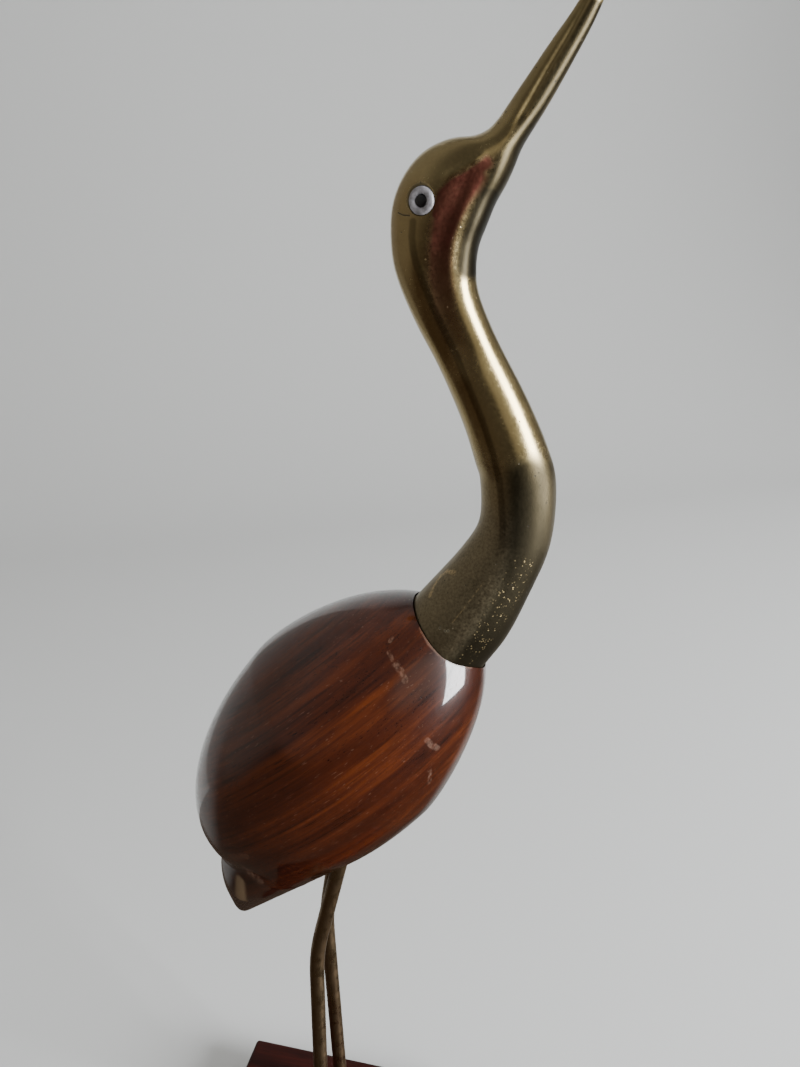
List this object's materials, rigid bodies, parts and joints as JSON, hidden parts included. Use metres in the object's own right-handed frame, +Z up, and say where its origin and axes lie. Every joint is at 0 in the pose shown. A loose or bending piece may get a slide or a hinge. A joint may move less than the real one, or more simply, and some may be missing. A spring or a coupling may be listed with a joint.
{
  "type": "heron figure on a base",
  "caption": "Standing heron figure: an egg-shaped wood body on bent brass rod legs, with a cast brass neck, head and beak, on a flat wood base.",
  "frame": {"origin": "centre of the base's underside", "axes": "+Z up, +X the way the bird looks, +Y to the bird's left"},
  "size_m": [0.0779, 0.044, 0.2612],
  "materials": {
    "body_wood": "clear gloss lacquer over dark red-brown wood, a few scuffs",
    "base_wood": "satin lacquer over maroon stained wood",
    "brass": "polished cast brass, aged to olive, with fine pits",
    "eye_white": "gloss",
    "eye_black": "gloss"
  },
  "bodies": {
    "root": {"base": "base_wood", "leg_right": "brass", "leg_left": "brass", "body": "body_wood", "neck_and_head": "brass", "eye_ring_right": "eye_white", "pupil_right": "eye_black", "eye_ring_left": "eye_white", "pupil_left": "eye_black"}
  },
  "joints": []
}
